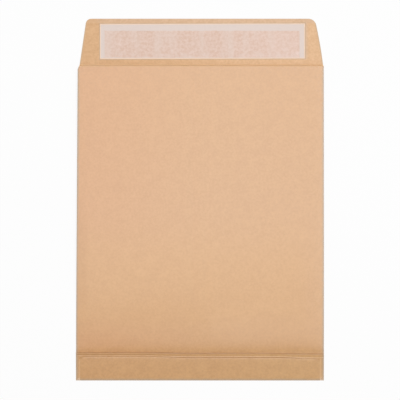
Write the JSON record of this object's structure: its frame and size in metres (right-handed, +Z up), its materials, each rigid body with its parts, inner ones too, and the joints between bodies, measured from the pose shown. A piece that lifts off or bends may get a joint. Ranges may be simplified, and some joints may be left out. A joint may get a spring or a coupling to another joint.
{
  "type": "gusseted paper envelope",
  "caption": "Gusseted kraft pocket envelope with a block bottom, its top flap open on an adhesive strip under a release liner.",
  "frame": {"origin": "under the middle of the outline, on the surface that the front panel lies on", "axes": "+Y along the envelope from its block bottom to the open flap, +X across its width, +Z up out of the back panel"},
  "size_m": [0.26, 0.3796, 0.007],
  "materials": {
    "kraft_paper": "matte",
    "adhesive": "satin",
    "liner_paper": "satin"
  },
  "bodies": {
    "root": {"kraft_sheet": "kraft_paper", "adhesive_strip": "adhesive", "release_liner": "liner_paper"}
  },
  "joints": []
}
